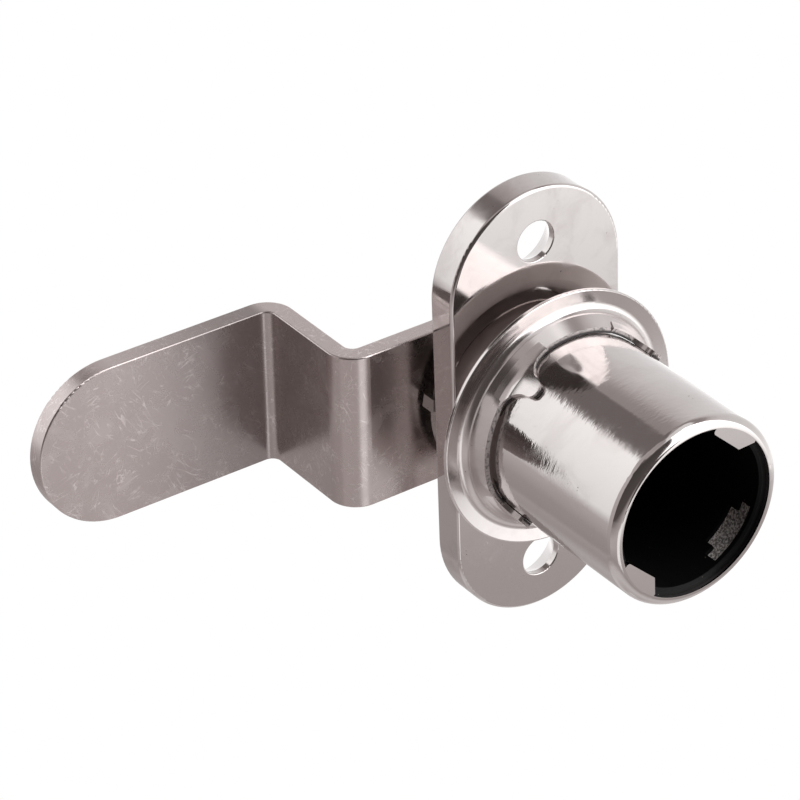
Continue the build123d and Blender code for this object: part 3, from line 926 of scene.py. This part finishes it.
@dataclass(frozen=True)
class Studio:
    """Pale floor, white surround and the panels that the metal reflects.

    Attributes:
        floor_drop: How far the floor lies under the frame's origin, in metres.
        floor_size: Side of the floor, in metres.
        floor_colour: Diffuse colour of the floor, linear.
        floor_roughness: Roughness of the floor.
        world_level: Strength of the surround as a light.
        panels: The walls; where two overlap, the nearer one shows.
    """

    floor_drop: float = 1.3
    floor_size: float = 10.0
    floor_colour: Colour = (0.85, 0.85, 0.85)
    floor_roughness: float = 0.9
    world_level: float = 0.6
    panels: tuple[Panel, ...] = (
        Panel("table", (-180.0, 180.0),
              ((-90.0, 0.5), (-66.0, 0.75), (-56.0, 0.7), (-47.0, 0.42), (-38.0, 0.52), (-20.0, 0.6)),
              distance=1.15, fade=8.0),
        Panel("room", (-180.0, 180.0), ((-30.0, 0.6), (30.0, 0.5), (90.0, 0.4)),
              distance=1.25, fade=0.0),
        Panel("left_ceiling", (-160.0, 0.0), ((38.0, 0.6), (60.0, 0.5), (90.0, 0.4)),
              distance=1.1, fade=5.0),
        Panel("dark_ceiling", (-205.0, -140.0), ((38.0, 0.2), (90.0, 0.2)), distance=1.05, fade=8.0),
        Panel("bright_ceiling", (-8.0, 135.0), ((55.0, 1.1), (90.0, 0.9)), distance=1.0, fade=6.0,
              sampling=Sampling.LAMP),
        Panel("dark_room", (-94.0, 18.0),
              ((-38.0, 0.6), (-26.0, 0.6), (-15.0, 0.4), (-5.0, 0.1), (50.0, 0.07), (62.0, 0.2)),
              distance=0.95, fade=5.0),
        Panel("front_strip", (-18.0, 14.0), ((-46.0, 1.3), (-22.0, 1.3)), distance=0.9, fade=5.0,
              sampling=Sampling.LAMP),
        Panel("right_wall", (54.0, 174.0),
              ((-40.0, 0.65), (-33.0, 0.75), (-28.0, 1.35), (-16.0, 1.1), (-5.0, 0.98),
               (19.0, 0.9), (30.0, 0.83), (40.0, 0.65), (46.0, 0.4), (58.0, 0.3)),
              distance=0.9, sampling=Sampling.LAMP),
        Panel("left_wall", (-128.0, -84.0), ((-44.0, 0.4), (-8.0, 0.55), (44.0, 0.65)), distance=0.87),
        Panel("left_softbox", (-174.0, -120.0),
              ((-44.0, 0.38), (-30.0, 0.43), (-16.0, 0.6), (-8.0, 1.15), (44.0, 1.45)),
              distance=0.85, sampling=Sampling.LAMP),
        Panel("key_softbox", (10.0, 62.0),
              ((-46.0, 0.45), (-36.0, 0.5), (-33.0, 0.7), (-30.0, 1.1), (-26.0, 1.5),
               (0.0, 2.7), (67.0, 3.0)),
              distance=0.8, sampling=Sampling.LAMP),
        Panel("dark_edge", (5.0, 26.0), ((-27.0, 0.08), (0.0, 0.08)), distance=0.78, fade=3.0),
    )

    def build(self) -> None:
        """Make the floor, the surround and the panels."""
        self._build_floor()
        self._build_world()
        for panel in self.panels:
            panel.build()
            log.info("%s: panel %.2f m away", panel.name, panel.distance)

    def _seen_directly(self, nodes: Nodes) -> Socket:
        """Tell what is looked at from what only sheds light.

        Args:
            nodes: Adds nodes to the tree that needs the mask.

        Returns:
            A mask that is 1 for rays from the camera, a mirror or a clear piece.
        """
        path = nodes.add("ShaderNodeLightPath").outputs
        seen = nodes.larger(path["Is Camera Ray"], path["Is Glossy Ray"])
        return nodes.larger(seen, path["Is Transmission Ray"])

    def _build_floor(self) -> None:
        """Make the plain pale floor, which is white to the eye."""
        bpy.ops.object.select_all(action="DESELECT")
        bpy.ops.mesh.primitive_plane_add(size=self.floor_size, location=(0, 0, -self.floor_drop))
        floor = bpy.context.active_object
        floor.name = "floor"
        material = bpy.data.materials.new("pale_floor")
        material.use_nodes = True
        nodes = Nodes(material.node_tree)
        pale = material.node_tree.nodes["Principled BSDF"]
        pale.inputs["Base Color"].default_value = rgba(self.floor_colour)
        pale.inputs["Roughness"].default_value = self.floor_roughness
        pale.inputs["Specular IOR Level"].default_value = 0.0
        white = nodes.add("ShaderNodeEmission", Color=rgba(WHITE), Strength=1.0)
        mixed = nodes.add("ShaderNodeMixShader", _0=self._seen_directly(nodes), _1=pale.outputs[0],
                          _2=white.outputs[0])
        nodes.feed(material.node_tree.nodes["Material Output"].inputs["Surface"], mixed.outputs[0])
        floor.data.materials.append(material)
        log.info("floor: %.2f m under the lock", self.floor_drop)

    def _build_world(self) -> None:
        """Surround the studio with white."""
        world = bpy.data.worlds.new("surround")
        bpy.context.scene.world = world
        world.use_nodes = True
        nodes = Nodes(world.node_tree)
        background = world.node_tree.nodes["Background"]
        background.inputs["Color"].default_value = rgba(WHITE)
        strength = nodes.add("ShaderNodeMapRange", Value=self._seen_directly(nodes),
                             To_Min=self.world_level, To_Max=1.0)
        nodes.feed(background.inputs["Strength"], strength.outputs[0])


@dataclass(frozen=True)
class PhotoCamera:
    """The camera at the photograph's viewing angle.

    Attributes:
        place: Where it stands, in millimetres.
        target: What it looks at, in millimetres.
        roll: How far it is tilted round its own line of sight, in radians.
        lens: Focal length, in millimetres on the sensor below.
        sensor: Sensor width, in millimetres.
        nearest: How close a thing may be and still be seen, in metres.
    """

    place: tuple[float, float, float] = (-170.2973, -230.1605, 182.6859)
    target: tuple[float, float, float] = (-14.7986, 0.0, 6.0948)
    roll: float = -0.0391
    lens: float = 172.034
    sensor: float = 36.0
    nearest: float = 0.01

    def build(self) -> bpy.types.Object:
        """Make the camera and give it to the scene.

        Returns:
            The camera object.
        """
        data = bpy.data.cameras.new("photo_camera")
        data.lens = self.lens
        data.sensor_width = self.sensor
        data.clip_start = self.nearest
        camera = bpy.data.objects.new("photo_camera", data)
        bpy.context.scene.collection.objects.link(camera)
        sight = (Vector(self.target) - Vector(self.place)).normalized()
        level = sight.cross(Vector((0, 0, 1))).normalized()
        upright = level.cross(sight)
        right = level * cos(self.roll) + upright * sin(self.roll)
        up = upright * cos(self.roll) - level * sin(self.roll)
        turned = Matrix((right, up, -sight)).transposed().to_4x4()
        camera.matrix_world = Matrix.Translation(Vector(self.place) * MM) @ turned
        bpy.context.scene.camera = camera
        log.info("camera: %.0f mm lens", self.lens)
        return camera


@dataclass(frozen=True)
class SubAssembly(ABC):
    """Pieces of the frame that stay together, each with its finish."""

    @abstractmethod
    def finishes(self) -> dict[str, Finish]:
        """The finish of each node."""

    def dress(self) -> None:
        """Give every node of the sub-assembly its finish in every material slot."""
        made: dict[str, bpy.types.Material] = {}
        for node, finish in self.finishes().items():
            if finish.name not in made:
                made[finish.name] = finish.material()
            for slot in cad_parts[node].material_slots:
                slot.link = "OBJECT"
                slot.material = made[finish.name]
            log.info("%s: finish %s", node, finish.name)


@dataclass(frozen=True)
class LockBody(SubAssembly):
    """Plate with barrel, sleeve, liner and the washer in the bore.

    Attributes:
        casting: Finish of the plate and barrel.
        sleeve: Finish of the drawn sleeve.
        liner: Finish of the bore's liner.
        washer: Finish of the thrust washer.
    """

    casting: CastPlate = CastPlate("polished_nickel", (0.60, 0.565, 0.555), (0.50, 0.46, 0.45))
    sleeve: DrawnPlate = DrawnPlate("bright_sleeve", (0.60, 0.565, 0.555), (0.54, 0.50, 0.49),
                                    smudge_scale=0.15, seed=7.0)
    liner: MouldedFinish = MouldedFinish("black_liner", (0.004, 0.004, 0.004), (0.12, 0.11, 0.1))
    washer: SatinFinish = SatinFinish("bronze_washer", (0.45, 0.32, 0.17), (0.55, 0.4, 0.22),
                                      roughness=0.35, seed=2.0)

    def finishes(self) -> dict[str, Finish]:
        """The finish of each node."""
        return {"housing": self.casting, "barrel_sleeve": self.sleeve,
                "bore_liner": self.liner, "thrust_washer": self.washer}


@dataclass(frozen=True)
class CamTrain(SubAssembly):
    """Driver, washers, spring, cam and screw that turn together.

    Attributes:
        cam: Finish of the cranked cam.
        washer: Finish of the plain washers and the screw.
        spring: Finish of the disc spring and the toothed washer.
        driver: Finish of the bare driver.
    """

    # The cam carries painted shade, its colour darkened towards the crease.
    cam: SatinFinish = SatinFinish("satin_cam", (0.515, 0.452, 0.442), (0.60, 0.543, 0.533),
                                   roughness=0.24, scratch_density=0.8,
                                   painted_shade=PaintedCreaseShade(start=-35.0, full=-19.0, fades=-18.5, end=-17.0, depth=0.45))
    washer: SatinFinish = SatinFinish("washer_steel", (0.5, 0.48, 0.46), (0.6, 0.58, 0.56),
                                      roughness=0.28, seed=5.0)
    spring: SatinFinish = SatinFinish("spring_steel", (0.3, 0.29, 0.28), (0.4, 0.39, 0.38), seed=8.0)
    driver: SatinFinish = SatinFinish("driver_zinc", (0.25, 0.24, 0.235), (0.35, 0.34, 0.33),
                                      roughness=0.4, seed=9.0)

    def finishes(self) -> dict[str, Finish]:
        """Pair the turning pieces with their finishes.

        Returns:
            The finish of each node.
        """
        return {"driver": self.driver, "stop_washer": self.washer, "disc_spring": self.spring,
                "cam": self.cam, "cam_washer": self.washer, "lock_washer": self.spring,
                "cam_screw": self.washer}


@dataclass(frozen=True)
class Collar(SubAssembly):
    """The pressed collar on the tube.

    Attributes:
        sheet: Finish of the pressed sheet.
    """

    sheet: PressedPlate = PressedPlate("bright_collar", (0.64, 0.60, 0.59), (0.58, 0.54, 0.53),
                                       roughness=0.16, smudge_roughness=0.06, seed=3.0)

    def finishes(self) -> dict[str, Finish]:
        """The finish of each node."""
        return {"collar": self.sheet}


def main() -> None:
    """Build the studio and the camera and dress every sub-assembly."""
    logging.basicConfig(level=logging.INFO, format="%(name)s: %(message)s")
    Studio().build()
    PhotoCamera().build()
    for assembly in (LockBody(), CamTrain(), Collar()):
        assembly.dress()
    bpy.context.scene.view_settings.view_transform = "Standard"


if __name__ == "__main__":
    main()
